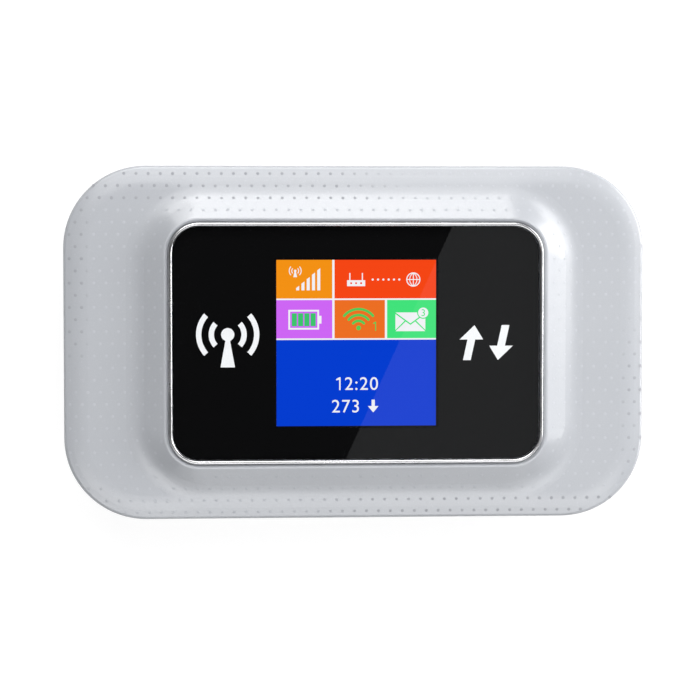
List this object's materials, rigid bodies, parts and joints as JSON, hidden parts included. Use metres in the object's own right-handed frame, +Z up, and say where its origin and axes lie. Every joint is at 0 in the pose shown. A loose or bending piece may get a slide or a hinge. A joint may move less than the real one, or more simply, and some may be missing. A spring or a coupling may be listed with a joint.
{
  "type": "mobile hotspot",
  "caption": "Pocket mobile hotspot: white rounded slab with a raised framed display window, side keys, charging socket, lift-off back cover, battery and card.",
  "frame": {"origin": "middle of the back cover's flat outer face, at the bottom", "axes": "+X along the long side towards the charging socket, +Y across towards the top edge of the picture, +Z up out of the display"},
  "size_m": [0.093, 0.0564, 0.0145],
  "materials": {
    "white_shell": "satin pearl white, fine dot texture on the front",
    "grey_band": "satin white moulding",
    "white_back": "satin white moulding",
    "chrome_ring": "bright plated",
    "clear_window": "clear gloss",
    "black_ink": "black print behind the window",
    "white_ink": "white print behind the window",
    "adhesive": "black foam tape",
    "key_plastic": "satin white keys",
    "switch_plastic": "black moulded",
    "plunger_plastic": "ivory moulded",
    "steel": "bright zinc-plated steel",
    "board_green": "solder-masked board",
    "shield_tin": "tin-plated sheet",
    "chip_black": "moulded epoxy",
    "ceramic": "ceramic with tinned ends",
    "thermal_grey": "soft silicone",
    "foam_black": "open foam",
    "lcd_tray": "white moulded tray",
    "light_guide": "milky light guide and films",
    "lcd_glass": "display glass, lit from behind",
    "flex_amber": "polyimide ribbon",
    "connector_plastic": "heat-proof moulding",
    "gold": "gold plated",
    "card_plastic": "white card stock",
    "battery_wrap": "silver-grey wrap",
    "battery_cap_black": "black moulded",
    "label_paper": "blank matt label"
  },
  "bodies": {
    "hotspot": {"front_cover": "white_shell", "middle_housing": "grey_band", "trim_ring": "chrome_ring", "display_window": "clear_window", "window_mask": "black_ink", "window_adhesive": "adhesive", "radio_print": "white_ink", "arrows_print": "white_ink", "power_switch": "switch_plastic", "wps_switch": "switch_plastic", "reset_switch": "switch_plastic", "housing_screws": "steel", "main_board": "board_green", "modem_shield": "shield_tin", "wifi_shield": "shield_tin", "power_shield": "shield_tin", "modem_chip": "chip_black", "memory_chip": "chip_black", "wifi_chip": "chip_black", "power_chip": "chip_black", "radio_amplifiers": "chip_black", "clock_crystals": "shield_tin", "board_passives": "ceramic", "thermal_pad": "thermal_grey", "lcd_foam_pad": "foam_black", "lcd_frame": "lcd_tray", "lcd_backlight": "light_guide", "lcd_glass": "lcd_glass", "lcd_gasket": "foam_black", "lcd_flex": "flex_amber", "lcd_connector": "connector_plastic", "usb_shell": "shield_tin", "usb_tongue": "switch_plastic", "usb_contacts": "gold", "battery_connector": "switch_plastic", "battery_springs": "gold", "sim_holder": "shield_tin", "antenna_springs": "gold", "main_antenna": "flex_amber", "diversity_antenna": "flex_amber", "wifi_antenna": "flex_amber", "rating_label": "label_paper"},
    "power_key": {"power_button": "key_plastic", "power_plunger": "plunger_plastic"},
    "wps_key": {"wps_button": "key_plastic", "wps_plunger": "plunger_plastic"},
    "reset_key": {"reset_plunger": "plunger_plastic"},
    "back_cover": {"back_cover": "white_back"},
    "battery": {"battery_cell": "battery_wrap", "battery_cap": "battery_cap_black", "battery_contacts": "gold", "battery_label": "label_paper"},
    "sim_card": {"sim_card": "card_plastic"}
  },
  "joints": [
    {"name": "power_press", "type": "slide", "parent": "hotspot", "child": "power_key", "axis": [-1, 0, 0], "range_m": [0, 0.0003], "stiffness_N_per_m": 1500, "springref_m": -0.0003},
    {"name": "wps_press", "type": "slide", "parent": "hotspot", "child": "wps_key", "axis": [0, 1, 0], "range_m": [0, 0.0003], "stiffness_N_per_m": 1500, "springref_m": -0.0003},
    {"name": "reset_press", "type": "slide", "parent": "hotspot", "child": "reset_key", "axis": [0, 0, 1], "range_m": [0, 0.0002], "stiffness_N_per_m": 1500, "springref_m": -0.0003},
    {"name": "cover_lift", "type": "slide", "parent": "hotspot", "child": "back_cover", "axis": [0, 0, -1], "range_m": [0, 0.03]},
    {"name": "battery_lift", "type": "slide", "parent": "hotspot", "child": "battery", "axis": [0, 0, -1], "range_m": [0, 0.015]},
    {"name": "card_slide", "type": "slide", "parent": "hotspot", "child": "sim_card", "axis": [0, -1, 0], "range_m": [0, 0.015]}
  ],
  "couplings": [
    {"joint": "battery_lift", "follows": "cover_lift", "ratio": 0.5}
  ]
}
